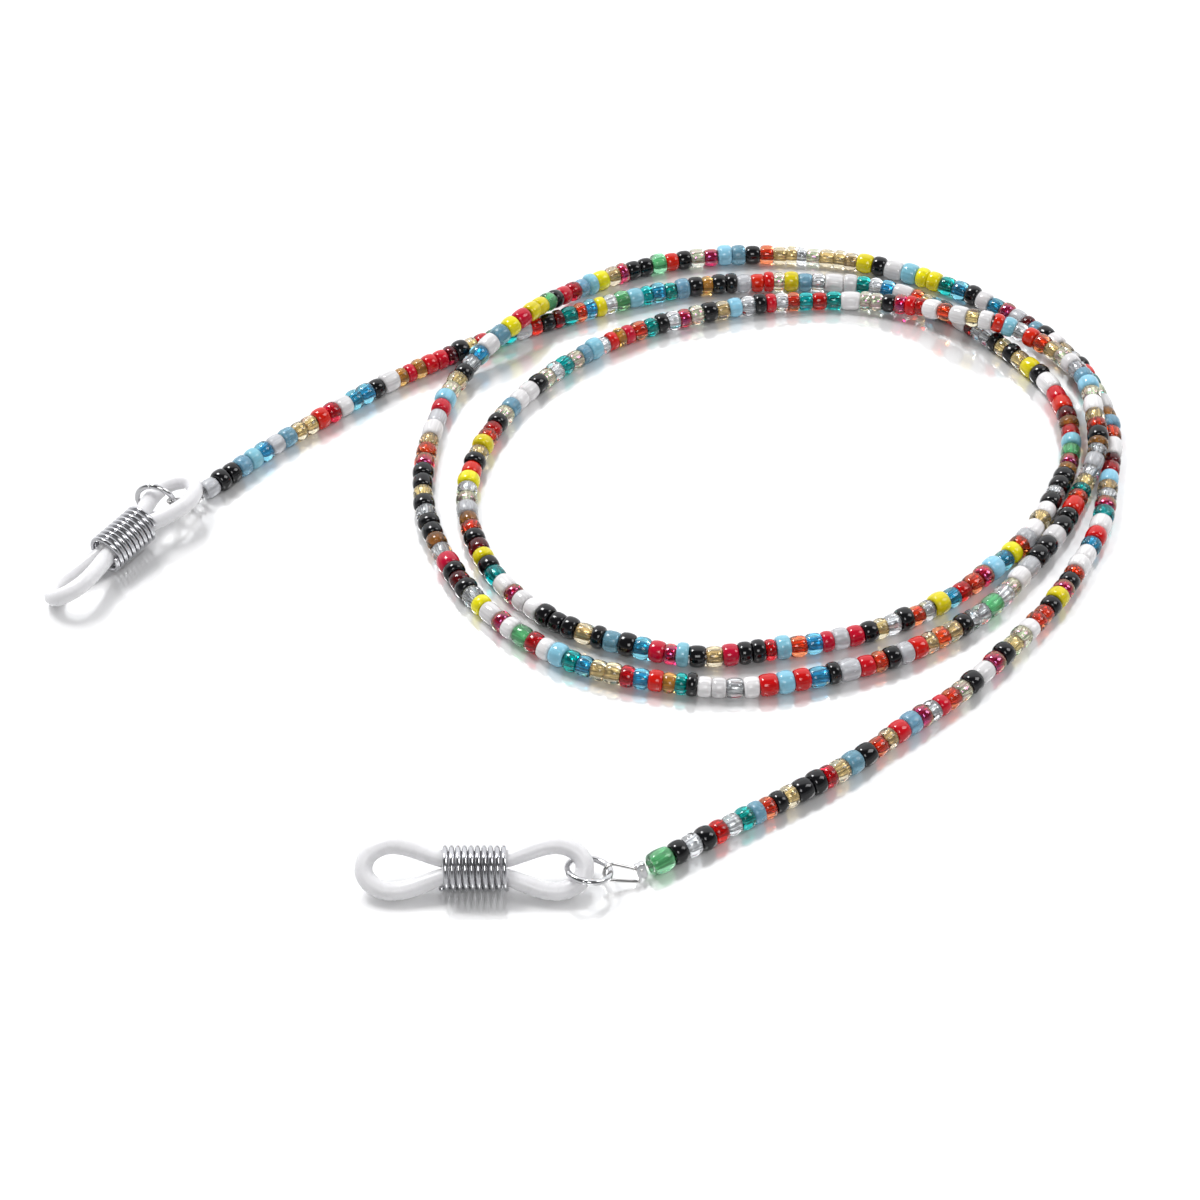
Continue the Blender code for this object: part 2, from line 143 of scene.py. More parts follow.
# Route of the beading wire from the back end to the front end, in millimetres.
ROUTE = [
    (-38.8, 25.0, LIE), (-33.2, 30.3, LIE), (-26.2, 36.7, LIE), (-19.5, 41.6, LIE),
    (-13.4, 45.6, LIE), (-7.0, 48.9, LIE), (-1.0, 51.8, LIE), (6.0, 54.7, LIE),
    (14.0, 56.8, LIE), (24.0, 57.5, LIE), (32.5, 57.0, LIE), (38.8, 55.0, LIE),
    (44.0, 51.0, LIE), (48.5, 46.0, LIE), (52.2, 41.0, LIE), (55.0, 36.0, LIE),
    (56.1, 29.5, LIE), (55.3, 22.5, LIE), (52.5, 16.0, LIE), (48.5, 9.0, LIE),
    (43.0, 2.8, LIE), (36.5, -2.5, LIE), (28.5, -6.5, LIE), (19.5, -8.8, LIE),
    (10.5, -10.0, LIE), (3.0, -8.3, LIE), (-4.0, -5.2, LIE), (-9.6, -0.2, LIE),
    (-13.2, 5.8, LIE), (-15.2, 13.0, LIE), (-15.1, 20.0, LIE), (-12.6, 28.4, LIE),
    (-8.2, 35.9, LIE), (-1.5, 42.9, LIE), (5.3, 47.6, LIE), (12.5, 50.6, LIE),
    (21.0, 52.9, LIE), (31.5, 53.6, LIE), (39.3, 51.6, 1.9), (42.6, 49.5, 2.7),
    (46.0, 47.2, 3.4), (48.6, 46.0, OVER), (51.7, 44.9, 3.1), (56.0, 40.7, 2.9),
    (58.7, 34.9, 3.3), (58.9, 29.0, 2.9), (58.4, 22.8, 2.7), (56.3, 18.0, 1.3),
    (52.7, 10.8, LIE), (48.0, 4.0, LIE), (42.5, -2.8, LIE), (34.5, -8.6, LIE),
    (26.0, -12.2, LIE), (15.5, -14.6, LIE), (7.0, -13.8, LIE), (-1.0, -11.7, LIE),
    (-8.0, -7.2, LIE), (-14.0, -0.8, LIE), (-18.3, 7.7, LIE), (-20.4, 15.5, LIE),
    (-20.4, 24.5, LIE), (-18.6, 34.0, LIE), (-16.2, 39.2, 1.7), (-13.9, 42.4, 2.6),
    (-11.4, 45.0, 3.3), (-9.2, 47.2, OVER), (-7.2, 50.1, 3.2), (-4.8, 53.6, 1.9),
    (-0.2, 57.6, LIE), (6.5, 61.0, LIE), (14.0, 62.9, LIE), (22.5, 63.4, LIE),
    (31.0, 62.5, LIE), (38.5, 59.8, LIE), (45.5, 56.0, LIE), (51.0, 51.5, LIE),
    (55.8, 45.8, LIE), (59.0, 40.0, LIE), (60.6, 32.5, LIE), (60.8, 25.5, LIE),
    (59.2, 18.5, LIE), (57.3, 11.3, LIE), (54.3, 5.3, LIE), (50.3, -1.3, LIE),
    (44.4, -8.6, LIE), (38.2, -15.3, LIE), (32.0, -20.3, LIE), (25.8, -25.6, LIE),
    (18.3, -30.6, LIE), (14.1, -33.2, LIE),
]
BACK_START = (-46.1, 16.55, LIE)
FRONT_START = (4.68, -39.3, LIE)

# Beads in order from the back end to the front end, one letter for each; KINDS says
# what each letter is.  The first and last six turn singly on the straight wire.
PATTERN = (
    "wKKbBAwbggRrWAAKWhRhRRdKgrGTw"
    "rKdTOAYCGBTATbKhKKwRRcYbCWWTCAWOgAKrWdC"
    "CKgKgYKWRRdhrBGMhKKCKWgWwOYABMOrA"
    "YCOKCgKRwRAOBrKKRgKBMRA"
    "KbKgKKKWWMWTKYdKOhwcCYRKgYOrKcbWWKcCTcbBCRhROTKCMcKgBCK"
    "RCOTrTWccKMRrWOWgWRBCROgcWCbBcWgOKhCwCgTORKKWKKwWcCGCCK"
    "gOgRwKORwKARBRWCWWKThRArggATBWrGWMWYCKdKRChKKCKgKKMOgWwRBcgKCAWbYRYYGK"
    "RrbBYgMKKGRKcMBbKOggCcgggYKWBYYTAKWAMwdbKWgCKRTcWhbO"
    "WdrBgCMTWRAWWOKMYKOOWcgKMWKcORCMbRgOKbgrKKgKObTCrKCKG"
)
SINGLES = 6
# How far along the wire, in millimetres, some of the beads begin, counted from 0 at the
# back end, so that each group of colours lies at its own place in the turns.
PINS = (
    (20, 34), (40, 66), (50, 82), (60, 100), (70, 114), (80, 132), (100, 166), (120, 198),
    (140, 231), (160, 264), (180, 295), (200, 328), (220, 360), (230, 380), (250, 414),
    (270, 445), (290, 481), (310, 516), (330, 550), (350, 585), (360, 605), (380, 638),
    (400, 671),
)
BACK_LENGTHS = (1.9, 1.6, 1.6, 1.7, 1.6, 1.65)
FRONT_LENGTHS = (2.5, 1.65, 1.5, 1.65, 1.5, 1.6)
BEAD_GAP = 0.06              # between the single beads, mm

# letter: piece name, material slot, finish, colour, length and radius in mm, squareness
# (the power of the bead's section: 1 is round, less is squarer)
KINDS = {
    "K": ("black", "bead_black", "opaque", (0.003, 0.003, 0.004), 1.60, 1.27, 0.92),
    "W": ("white", "bead_white", "opaque", (0.74, 0.725, 0.73), 2.10, 1.22, 0.72),
    "w": ("frosted_white", "bead_white", "milky", (0.76, 0.77, 0.80), 1.90, 1.20, 0.82),
    "R": ("red", "bead_red", "opaque", (0.56, 0.003, 0.016), 1.66, 1.21, 0.86),
    "r": ("clear_red", "bead_red", "clear", (0.72, 0.008, 0.018), 1.52, 1.19, 0.90),
    "d": ("garnet", "bead_red", "clear", (0.30, 0.004, 0.014), 1.50, 1.17, 0.90),
    "O": ("lined_orange", "bead_red", "lined", (0.95, 0.085, 0.012), 1.62, 1.19, 0.88),
    "Y": ("yellow", "bead_yellow", "opaque", (0.76, 0.66, 0.006), 1.72, 1.28, 0.90),
    "B": ("sky", "bead_sky", "opaque", (0.24, 0.54, 0.68), 1.66, 1.30, 0.92),
    "b": ("frosted_sky", "bead_sky", "milky", (0.26, 0.52, 0.68), 1.72, 1.22, 0.86),
    "A": ("lined_aqua", "bead_aqua", "lined", (0.05, 0.42, 0.66), 1.72, 1.22, 0.90),
    "T": ("lined_teal", "bead_teal", "lined", (0.0, 0.42, 0.40), 1.62, 1.20, 0.92),
    "G": ("green", "bead_green", "clear", (0.30, 0.70, 0.40), 1.80, 1.24, 0.84),
    "g": ("lined_gold", "bead_gold", "lined", (0.80, 0.64, 0.34), 1.62, 1.19, 0.90),
    "h": ("honey", "bead_gold", "clear", (0.66, 0.38, 0.11), 1.42, 1.18, 0.92),
    "C": ("lined_crystal", "bead_crystal", "lined", (0.78, 0.80, 0.84), 1.52, 1.18, 0.88),
    "c": ("rainbow", "bead_crystal", "rainbow", (0.88, 0.85, 0.70), 1.62, 1.19, 0.86),
    "M": ("magenta", "bead_red", "rainbow", (0.60, 0.004, 0.09), 1.52, 1.21, 0.92),
}
PIECE, SLOT, FINISH, COLOUR, LENGTH = range(5)      # places in each entry of KINDS

# Placement of the two end fittings, mm in the route's frame.
FRONT_RING_CENTRE = (-1.1, -40.4, 2.15)
FRONT_RING_SLOPE = radians(7)
FRONT_RING_TILT = radians(18)
FRONT_GRIP_CENTRE = (-12.35, -40.3, 2.36)
FRONT_GRIP_ROLL = radians(36)
FRONT_EYE_WIDE = (0, 0.5, 0.866)
BACK_RING_CENTRE = (-50.9, 13.8, 2.5)
BACK_RING_YAW = radians(-10)
BACK_GRIP_CENTRE = (-53.6, 7.2, 2.6)
BACK_GRIP_HEADING = radians(54)
BACK_GRIP_PITCH = radians(4)
BACK_GRIP_ROLL = radians(-18)
BACK_EYE_WIDE = (0.75, -0.66, 0)

# ---------------------------------------------------------------- camera and light values
CAMERA_PITCH = radians(44)
CAMERA_DISTANCE = 0.2615
CAMERA_LENS = 70.6
FLOOR_SIZE = 3.0
FLOOR_SQUARES = 8
LIT_POINT = (0.02, 0.02, 0.0)
# name, place, size, watts
LIGHTS = (
    ("key", (-0.28, 0.30, 0.62), (0.22, 0.22), 3.5),
    ("side", (0.55, 0.05, 0.55), (0.25, 0.35), 1.4),
    ("fill", (0.05, -0.45, 0.50), (0.25, 0.25), 1.2),
)
WORLD_COLOUR = (0.97, 0.98, 1.0, 1.0)
# axis of the view, where the change starts and ends, strength before and after
WORLD_PARTS = (
    ("Y", 0.1, 0.5, 0.13, 1.25),        # a bright wall behind the chain
    ("Z", 0.15, 0.45, 0.55, 0.13),      # and a haze low down all round it
)


# ---------------------------------------------------------------- geometry helpers
def spot(point):
    """A point of the route, from its own millimetres to the frame's metres."""
    return Vector(point) * MM - MIDWAY


def smooth_curve(points, steps=16):
    """A dense Catmull-Rom curve through the points; the end points only guide it."""
    dense = []
    for a, b, c, d in zip(points, points[1:], points[2:], points[3:]):
        for i in range(steps):
            t = i / steps
            dense.append(0.5 * (2 * b + (c - a) * t + (2 * a - 5 * b + 4 * c - d) * t * t
                                + (3 * b - 3 * c + d - a) * t ** 3))
    dense.append(points[-2])
    return dense


def axes(x_axis, y_hint):
    """Rotation with X along x_axis and Y as near y_hint as it can be."""
    x = Vector(x_axis).normalized()
    z = x.cross(Vector(y_hint)).normalized()
    return Matrix((x, z.cross(x), z)).transposed()


def placement(origin, x_axis, y_hint):
    return Matrix.Translation(origin) @ axes(x_axis, y_hint).to_4x4()


def sweep(path, up, section, closed=False):
    """Rings of points round a path; up stays the second axis of each section."""
    rings = []
    count = len(path)
    for i, point in enumerate(path):
        before = path[i - 1] if closed or i else point
        after = path[(i + 1) % count] if closed or i < count - 1 else point
        tangent = (after - before).normalized()
        side = tangent.cross(up).normalized()
        lift = side.cross(tangent)
        rings.append([point + side * a + lift * b for a, b in section(i)])
    return rings


def circle(radius, sides):
    return [(radius * cos(2 * pi * k / sides), radius * sin(2 * pi * k / sides))
            for k in range(sides)]


def round_caps(rings, inset=0.72, depth=0.35):
    """Adds a smaller ring just past each end, so that a cut wire has a soft edge."""
    out = list(rings)
    for end, inner, at in ((0, 1, 0), (-1, -2, len(rings) + 1)):
        middle = sum(rings[end], Vector()) / len(rings[end])
        behind = sum(rings[inner], Vector()) / len(rings[inner])
        radius = (rings[end][0] - middle).length
        ahead = (middle - behind).normalized() * radius * depth
        out.insert(at, [middle + (p - middle) * inset + ahead for p in rings[end]])
    return out


def loft(name, rings, closed=False):
    """One closed skin over rings of points that all have the same count."""
    sides = len(rings[0])
    count = len(rings)
    verts = [p for ring in rings for p in ring]
    faces = []
    for i in range(count if closed else count - 1):
        for k in range(sides):
            a, b = i * sides, ((i + 1) % count) * sides
            faces.append((a + k, a + (k + 1) % sides, b + (k + 1) % sides, b + k))
    if not closed:
        faces.append(tuple(range(sides)))
        faces.append(tuple(range((count - 1) * sides, count * sides)))
    mesh = bpy.data.meshes.new(name)
    mesh.from_pydata(verts, [], faces)
    work = bmesh.new()
    work.from_mesh(mesh)
    bmesh.ops.recalc_face_normals(work, faces=work.faces)
    work.to_mesh(mesh)
    work.free()
    mesh.shade_smooth()
    obj = bpy.data.objects.new(name, mesh)
    bpy.context.scene.collection.objects.link(obj)
    return obj


def finish_piece(obj, body, mat, slot, *nodes):
    """Gives a finished piece its material and its body, and hides the CAD nodes it stands for."""
    if not obj.data.materials:
        obj.data.materials.append(mat)
    if body:
        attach(obj, body)
    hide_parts(*nodes)
    return obj


# ---------------------------------------------------------------- camera
def add_camera():
    """Above the near side, looking down at the middle of the route's millimetres."""
    looked_at = -MIDWAY
    data = bpy.data.cameras.new("camera")
    data.lens = CAMERA_LENS
    data.sensor_width = 36.0
    data.clip_start = 0.01
    data.clip_end = 10.0
    camera = bpy.data.objects.new("camera", data)
    bpy.context.scene.collection.objects.link(camera)
    towards_camera = Vector((0, -cos(CAMERA_PITCH), sin(CAMERA_PITCH)))
    camera.location = looked_at + towards_camera * CAMERA_DISTANCE
    camera.rotation_euler = (pi / 2 - CAMERA_PITCH, 0, 0)
    bpy.context.scene.camera = camera


# ---------------------------------------------------------------- materials
class Nodes:
    """Short names for building a material's node tree."""

    def __init__(self, name):
        self.mat = bpy.data.materials.new(name)
        self.mat.use_nodes = True
        self.tree = self.mat.node_tree
        self.shader = self.tree.nodes["Principled BSDF"]

    def add(self, kind, **values):
        node = self.tree.nodes.new(kind)
        for key, value in values.items():
            setattr(node, key, value)
        return node

    def link(self, source, target):
        self.tree.links.new(source, target)

    def fixed(self, **values):
        for key, value in values.items():
            self.shader.inputs[key.replace("_", " ")].default_value = value

    def attribute(self, name):
        return self.add("ShaderNodeAttribute", attribute_name=name)

    def stretched(self, vector, scale):
        mapping = self.add("ShaderNodeMapping")
        mapping.inputs["Scale"].default_value = scale
        self.link(vector, mapping.inputs["Vector"])
        return mapping.outputs["Vector"]

    def noise(self, vector, scale, detail=2.0):
        node = self.add("ShaderNodeTexNoise")
        node.inputs["Scale"].default_value = scale
        node.inputs["Detail"].default_value = detail
        self.link(vector, node.inputs["Vector"])
        return node.outputs["Fac"]

    def ramp(self, value, low, high, start=0.3, end=0.7):
        """A value spread between two numbers or two colours."""
        node = self.add("ShaderNodeMapRange")
        node.inputs["From Min"].default_value = start
        node.inputs["From Max"].default_value = end
        node.inputs["To Min"].default_value = low
        node.inputs["To Max"].default_value = high
        self.link(value, node.inputs["Value"])
        return node.outputs["Result"]

    def blend(self, factor, first, second):
        node = self.add("ShaderNodeMix", data_type="RGBA")
        node.inputs["A"].default_value = (*first, 1.0) if len(first) == 3 else first
        node.inputs["B"].default_value = (*second, 1.0) if len(second) == 3 else second
        self.link(factor, node.inputs["Factor"])
        return node.outputs["Result"]

    def bump(self, height, strength, distance):
        node = self.add("ShaderNodeBump")
        node.inputs["Strength"].default_value = strength
        node.inputs["Distance"].default_value = distance
        self.link(height, node.inputs["Height"])
        self.link(node.outputs["Normal"], self.shader.inputs["Normal"])


def shade(colour, factor):
    return tuple(min(1.0, part * factor) for part in colour)


def toned(nodes, streaks, colour, low, high):
    """Colour that varies along the streaks and a little from bead to bead."""
    own = nodes.blend(streaks, shade(colour, low), shade(colour, high))
    tone = nodes.attribute("tone").outputs["Fac"]
    value = nodes.add("ShaderNodeHueSaturation")
    nodes.link(nodes.ramp(tone, 0.86, 1.1, 0.0, 1.0), value.inputs["Value"])
    nodes.link(nodes.ramp(tone, 0.492, 0.508, 0.0, 1.0), value.inputs["Hue"])
    nodes.link(own, value.inputs["Color"])
    return value.outputs["Color"]


def bead_glass(name, finish, colour):
    """Outer glass of one kind of bead, drawn out along the bead as the cane was."""
    n = Nodes(name)
    grain = n.attribute("grain").outputs["Vector"]
    drawn = n.noise(n.stretched(grain, (0.25, 3.2, 3.2)), 1.0, 3.0)
    ripple = n.noise(n.stretched(grain, (0.5, 1.4, 1.4)), 1.0, 1.0)
    streaks = n.ramp(drawn, 0.0, 1.0, 0.35, 0.65)
    n.fixed(IOR=1.52)
    if finish == "opaque":
        n.link(toned(n, streaks, colour, 0.86, 1.08), n.shader.inputs["Base Color"])
        n.link(n.ramp(ripple, 0.05, 0.15), n.shader.inputs["Roughness"])
        n.bump(ripple, 0.25, 0.04 * MM)
        if max(colour) > 0.1:
            n.fixed(Subsurface_Weight=0.12, Subsurface_Radius=(1, 1, 1),
                    Subsurface_Scale=0.3 * MM)
    elif finish == "milky":
        n.link(toned(n, streaks, colour, 0.84, 1.12), n.shader.inputs["Base Color"])
        n.link(n.ramp(ripple, 0.16, 0.3), n.shader.inputs["Roughness"])
        n.fixed(Transmission_Weight=0.5, Subsurface_Weight=0.25, Subsurface_Radius=(1, 1, 1),
                Subsurface_Scale=0.4 * MM)
        n.bump(drawn, 0.3, 0.03 * MM)
    elif finish == "clear":
        n.link(toned(n, streaks, colour, 0.8, 1.25), n.shader.inputs["Base Color"])
        n.link(n.ramp(ripple, 0.0, 0.06), n.shader.inputs["Roughness"])
        n.fixed(Transmission_Weight=0.92)
        n.bump(drawn, 0.35, 0.05 * MM)
    elif finish == "lined":
        light = tuple(part ** 0.5 for part in colour)
        n.link(toned(n, streaks, light, 0.85, 1.1), n.shader.inputs["Base Color"])
        n.link(n.ramp(ripple, 0.0, 0.05), n.shader.inputs["Roughness"])
        n.fixed(Transmission_Weight=0.95)
        n.bump(ripple, 0.3, 0.05 * MM)
    else:
        n.link(toned(n, streaks, colour, 0.85, 1.15), n.shader.inputs["Base Color"])
        n.link(n.ramp(ripple, 0.02, 0.08), n.shader.inputs["Roughness"])
        n.fixed(Transmission_Weight=0.95, Thin_Film_Thickness=420.0, Thin_Film_IOR=1.9)
        n.bump(ripple, 0.3, 0.05 * MM)
    return n.mat


def bead_lining(name, finish, colour):
    """Wall of the hole: foil-like on a silver-lined bead, ground glass on the others."""
    n = Nodes(name)
    grain = n.attribute("grain").outputs["Vector"]
    fold = n.noise(n.stretched(grain, (0.3, 5.0, 5.0)), 1.0, 2.0)
    streaks = n.ramp(fold, 0.0, 1.0, 0.38, 0.62)
    if finish in ("lined", "rainbow"):
        n.link(toned(n, streaks, colour, 0.45, 1.25), n.shader.inputs["Base Color"])
        n.link(n.ramp(fold, 0.14, 0.32), n.shader.inputs["Roughness"])
        n.fixed(Metallic=0.6)
        n.bump(fold, 0.8, 0.08 * MM)
    else:
        n.link(toned(n, streaks, colour, 0.6, 1.1), n.shader.inputs["Base Color"])
        n.link(n.ramp(fold, 0.35, 0.6), n.shader.inputs["Roughness"])
        n.bump(fold, 0.4, 0.05 * MM)
    return n.mat


def steel(name, colour, low, high, scale):
    """Bright drawn wire: fine draw marks and a slight change of shine along it."""
    n = Nodes(name)
    place = n.add("ShaderNodeTexCoord").outputs["Object"]
    marks = n.noise(place, scale / MM, 4.0)
    patches = n.noise(place, 0.45 / MM, 2.0)
    n.link(n.blend(n.ramp(patches, 0.0, 1.0), shade(colour, 0.88), shade(colour, 1.08)),
           n.shader.inputs["Base Color"])
    n.link(n.ramp(patches, low, high), n.shader.inputs["Roughness"])
    n.fixed(Metallic=1.0)
    n.bump(marks, 0.12, 0.01 * MM)
    return n.mat


def clear_silicone():
    """Milky clear silicone rubber with faint flow lines and a soft satin skin."""
    n = Nodes("clear_silicone")
    place = n.add("ShaderNodeTexCoord").outputs["Object"]
    cloud = n.noise(place, 0.35 / MM, 3.0)
    skin = n.noise(place, 1.1 / MM, 2.0)
    n.link(n.blend(n.ramp(cloud, 0.0, 1.0), (0.72, 0.715, 0.725), (0.77, 0.765, 0.78)),
           n.shader.inputs["Base Color"])
    n.link(n.ramp(skin, 0.24, 0.32), n.shader.inputs["Roughness"])
    n.fixed(IOR=1.41, Subsurface_Weight=0.8, Subsurface_Radius=(1, 1, 1),
            Subsurface_Scale=1.0 * MM)
    n.bump(skin, 0.05, 0.05 * MM)
    return n.mat


def table_top():
    n = Nodes("table_top")
    place = n.add("ShaderNodeTexCoord").outputs["Object"]
    wear = n.noise(place, 9.0, 2.0)
    n.link(n.blend(wear, (0.95, 0.95, 0.95), (0.97, 0.97, 0.97)), n.shader.inputs["Base Color"])
    n.link(n.ramp(wear, 0.14, 0.18), n.shader.inputs["Roughness"])
    n.fixed(IOR=1.6, Metallic=0.38)
    return n.mat


# ---------------------------------------------------------------- beads
def signed_power(values, power):
    return np.sign(values) * np.abs(values) ** power


def bead_wall(length, radius, squareness, rng):
    """Points round a bead: its length along X, rings of BEAD_PROFILE points each.

    The section is a rounded oblong between the hole and the outer surface.  A bead is
    chopped from a cane, so its ends are a little askew and it is not quite round.
    """
    turn = np.linspace(0, 2 * pi, BEAD_SIDES, endpoint=False)[:, None]
    around = np.linspace(0, 2 * pi, BEAD_PROFILE, endpoint=False)[None, :] + pi / BEAD_PROFILE
    middle = (radius + HOLE_R) / 2
    outward = signed_power(np.sin(around), WALL_ROUNDNESS)
    power = np.where(outward > 0, squareness, HOLE_SQUARENESS)
    along = signed_power(np.cos(around), power) * length / 2
    oval = rng.uniform(0.0, OUT_OF_ROUND)
    out_of_round = 1 + oval * np.cos(2 * (turn - rng.uniform(0, pi)))
    out = middle + outward * (radius - HOLE_R) / 2
    reach = out * np.where(outward > 0, out_of_round, 1.0)
    askew = 1 + rng.uniform(0.0, ASKEW) * np.cos(turn - rng.uniform(0, 2 * pi))
    x = along * askew + 0 * turn
    return np.stack([x, reach * np.cos(turn), reach * np.sin(turn)], axis=-1).reshape(-1, 3)


def bead_faces():
    """Quads of one bead and, for each, whether it lies on the wall of the hole."""
    quads, lining = [], []
    for i in range(BEAD_SIDES):
        a, b = i * BEAD_PROFILE, (i + 1) % BEAD_SIDES * BEAD_PROFILE
        for k in range(BEAD_PROFILE):
            nxt = (k + 1) % BEAD_PROFILE
            quads.append((a + k, a + nxt, b + nxt, b + k))
            lining.append(k in HOLE_FACES)
    return np.array(quads), np.array(lining)


QUADS, LINING = bead_faces()


def bead_piece(name, letter, places, rng):
    """Beads of one kind in one mesh; places holds (middle, heading, length, room).

    Without a name it is the piece of all beads of that kind on the turns, and those
    that lie on the table are set down on it.
    """
    piece, *_, radius, squareness = KINDS[letter]
    verts, faces, grain, tone = [], [], [], []
    for middle, heading, length, room in places:
        own_radius = min(radius * rng.uniform(*RADIUS_SPREAD) * MM, room)
        own_squareness = squareness * rng.uniform(*SQUARENESS_SPREAD)
        own = bead_wall(length * BEAD_FILL, own_radius, own_squareness, rng)
        spin = Matrix.Rotation(rng.uniform(0, 2 * pi), 3, "X")
        turn = np.array(axes(heading, (0, 0, 1)) @ spin)
        centre = np.array(middle)
        if name is None and middle.z < LYING:
            centre[2] = max(own_radius, LOWEST_CENTRE)
        faces.append(QUADS + len(verts) * len(own))
        verts.append(own @ turn.T + centre)
        grain.append(own / MM + np.array([rng.uniform(0, GRAIN_REACH) for _ in range(3)]))
        tone.append(np.full(len(own), rng.random()))
    mesh = bpy.data.meshes.new(name or f"beads_{piece}")
    mesh.from_pydata(np.concatenate(verts), [], np.concatenate(faces))
    mesh.attributes.new("grain", "FLOAT_VECTOR", "POINT").data.foreach_set(
        "vector", np.concatenate(grain).astype(np.float32).ravel())
    mesh.attributes.new("tone", "FLOAT", "POINT").data.foreach_set(
        "value", np.concatenate(tone).astype(np.float32))
    for part in BEAD_MATERIALS[letter]:
        mesh.materials.append(part)
    mesh.polygons.foreach_set("material_index", np.tile(LINING, len(places)).astype(np.int32))
    mesh.shade_smooth()
    mesh.update()
    obj = bpy.data.objects.new(mesh.name, mesh)
    bpy.context.scene.collection.objects.link(obj)
    return obj


def wire_line():
    """Dense points of the beading wire and the distance of each from its back end."""
    route = [spot(p) for p in [BACK_START] + ROUTE + [FRONT_START]]
    line = [route[0]] + smooth_curve(route) + [route[-1]]
    steps = [(b - a).length for a, b in zip(line, line[1:])]
    return line, np.concatenate([[0.0], np.cumsum(steps)])


def bead_places(line, measure):
    """(letter, middle, heading, length, room) of each bead between the straight ends.

    The room is half the distance to the nearest other turn of the strand.
    """
    points = np.array(line)
    back = END_GAP + sum(BACK_LENGTHS) * MM + SINGLES * BEAD_GAP * MM
    front = measure[-1] - END_GAP - sum(FRONT_LENGTHS) * MM - SINGLES * BEAD_GAP * MM
    letters = PATTERN[SINGLES:-SINGLES]
    rng = random.Random(LENGTH_SEED)
    weights = [KINDS[letter][LENGTH] * rng.choice(LENGTH_CHOICES) for letter in letters]
    filled = np.concatenate([[0.0], np.cumsum(weights)])
    pins = [(SINGLES, back)] + [(number, at * MM) for number, at in PINS]
    pins.append((len(PATTERN) - SINGLES, front))
    edges = np.interp(filled, [filled[number - SINGLES] for number, _ in pins],
                      [at for _, at in pins])
    places = []
    for letter, start, end in zip(letters, edges, edges[1:]):
        ends = [Vector([np.interp(s, measure, points[:, i]) for i in range(3)])
                for s in (start, end)]
        middle = (ends[0] + ends[1]) / 2
        others = points[np.abs(measure - (start + end) / 2) > SAME_TURN]
        room = np.linalg.norm(others - np.array(middle), axis=1).min() / 2
        places.append((letter, middle, ends[1] - ends[0], end - start, room))
    return places


def add_strand():
    """Every bead on the beading wire: those of the turns and the single beads at each end."""
    line, measure = wire_line()
    places = bead_places(line, measure)
    runs = sorted(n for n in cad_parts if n.startswith("bead_run_"))
    pieces = []
    for number, letter in enumerate(KINDS):
        mine = [place[1:] for place in places if place[0] == letter]
        piece = bead_piece(None, letter, mine, random.Random(KIND_SEED + number))
        finish_piece(piece, "strand", None, KINDS[letter][SLOT], *runs[number::len(KINDS)])
        pieces.append(piece)
    for end, letters, lengths in (("back", PATTERN[:SINGLES], BACK_LENGTHS),
                                  ("front", PATTERN[::-1][:SINGLES], FRONT_LENGTHS)):
        start, towards = (line[0], line[1]) if end == "back" else (line[-1], line[-2])
        for number, (letter, length) in enumerate(zip(letters, lengths), 1):
            node = f"{end}_bead_{number}"
            low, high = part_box(node)
            place = ((low + high) / 2, towards - start, length * MM, SINGLE_ROOM)
            piece = bead_piece(f"{end}_single_bead_{number}", letter, [place],
                               random.Random(f"{end}{number}"))
            finish_piece(piece, node, None, KINDS[letter][SLOT], node)
    return line, measure, pieces


def add_wire(line):
    """The beading wire itself, from crimp to crimp."""
    curve = bpy.data.curves.new("beading_wire_strand", "CURVE")
    curve.dimensions = "3D"
    curve.bevel_depth = THREAD_D / 2
    curve.bevel_resolution = 2
    curve.use_fill_caps = True
    points = line[:1] + line[1:-1:WIRE_STRIDE] + line[-1:]
    spline = curve.splines.new("POLY")
    spline.points.add(len(points) - 1)
    for place, point in zip(spline.points, points):
        place.co = (*point, 1.0)
    obj = bpy.data.objects.new("beading_wire_strand", curve)
    bpy.context.scene.collection.objects.link(obj)
    finish_piece(obj, "strand", MATERIALS["thread"], "beading_wire", "beading_wire")


# ---------------------------------------------------------------- end fittings
def add_crimp(end, face, outward, wide):
    """Flattened crimp tube: pressed across its middle, its lips standing proud."""
    length, width, thick = CRIMP
    flat, deep_power = CRIMP_SQUARENESS
    frame_at = placement(face + outward * length / 2, outward, wide)
    rings = []
    for x, across, deep in CRIMP_PROFILE:
        ring = []
        for k in range(CRIMP_SIDES):
            angle = 2 * pi * k / CRIMP_SIDES
            c, s = cos(angle), sin(angle)
            ring.append(frame_at @ Vector((
                x * length,
                across * width / 2 * abs(c) ** flat * (1 if c > 0 else -1),
                deep * thick / 2 * abs(s) ** deep_power * (1 if s > 0 else -1))))
        rings.append(ring)
    obj = loft(f"{end}_crimp_tube", rings)
    finish_piece(obj, "strand", MATERIALS["crimp"], "crimp_metal", f"{end}_crimp")


